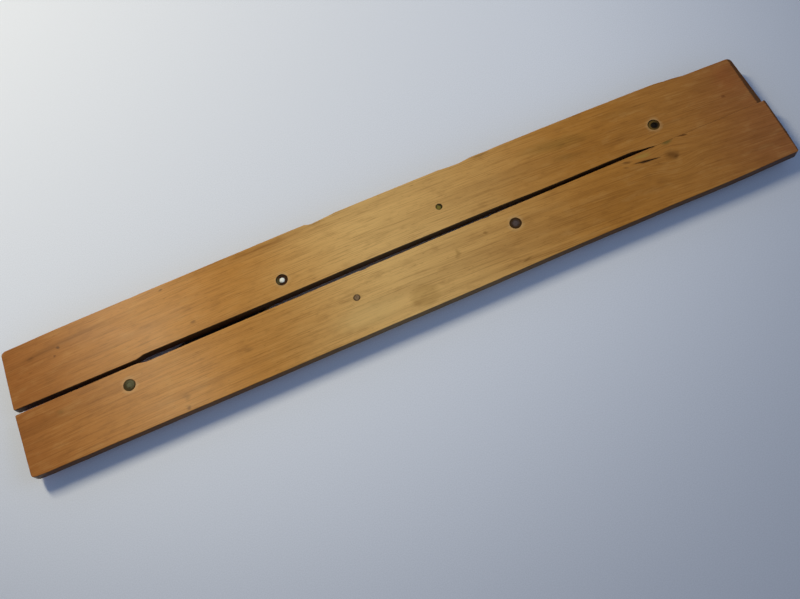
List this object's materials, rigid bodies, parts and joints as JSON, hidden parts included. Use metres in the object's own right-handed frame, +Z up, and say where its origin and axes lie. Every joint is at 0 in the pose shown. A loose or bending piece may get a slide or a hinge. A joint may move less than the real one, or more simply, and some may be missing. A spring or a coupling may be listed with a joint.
{
  "type": "parallel rule",
  "caption": "Wooden parallel rule: flat boards joined edge to edge by pivoting brass links, with low finger knobs, resting with its plain back up.",
  "frame": {"origin": "middle of the rule's outline, at the height of the surface that the rivet heads and knobs stand on", "axes": "+X along the boards, +Y across them from the lower board to the upper board, +Z up out of the plain back"},
  "size_m": [0.4578, 0.0777, 0.0114],
  "materials": {
    "boxwood": "satin, honey to orange brown, worn and darkened by handling",
    "aged_brass": "dull, lightly tarnished",
    "oxidised_brass": "dark grey-green oxidised, flush with the wood"
  },
  "bodies": {
    "lower_board": {"lower_board": "boxwood", "lower_left_pivot_rivet": "aged_brass", "lower_right_pivot_rivet": "aged_brass", "lower_left_back_burr": "oxidised_brass", "lower_right_back_burr": "oxidised_brass", "lower_left_spacer_washer": "aged_brass", "lower_right_spacer_washer": "aged_brass", "lower_left_rosette_washer": "aged_brass", "lower_right_rosette_washer": "aged_brass", "lower_knob": "aged_brass", "lower_knob_rivet": "oxidised_brass", "lower_knob_rosette": "aged_brass"},
    "left_link": {"left_link": "aged_brass"},
    "right_link": {"right_link": "aged_brass"},
    "upper_board": {"upper_board": "boxwood", "upper_left_pivot_rivet": "aged_brass", "upper_right_pivot_rivet": "aged_brass", "upper_left_back_burr": "oxidised_brass", "upper_right_back_burr": "oxidised_brass", "upper_left_spacer_washer": "aged_brass", "upper_right_spacer_washer": "aged_brass", "upper_left_rosette_washer": "aged_brass", "upper_right_rosette_washer": "aged_brass", "upper_knob": "aged_brass", "upper_knob_rivet": "oxidised_brass", "upper_knob_rosette": "aged_brass"}
  },
  "joints": [
    {"name": "left_link_turn", "type": "hinge", "parent": "lower_board", "child": "left_link", "pos_m": [-0.165, -0.011, 0.0031], "axis": [0, 0, 1], "range_deg": [0, 150]},
    {"name": "right_link_turn", "type": "hinge", "parent": "lower_board", "child": "right_link", "pos_m": [0.0666, -0.012, 0.0031], "axis": [0, 0, 1], "range_deg": [0, 150]},
    {"name": "upper_board_turn", "type": "hinge", "parent": "left_link", "child": "upper_board", "pos_m": [-0.0666, 0.012, 0.0031], "axis": [0, 0, 1], "range_deg": [-150, 0]}
  ],
  "couplings": [
    {"joint": "right_link_turn", "follows": "left_link_turn", "ratio": 1},
    {"joint": "upper_board_turn", "follows": "left_link_turn", "ratio": -1}
  ]
}
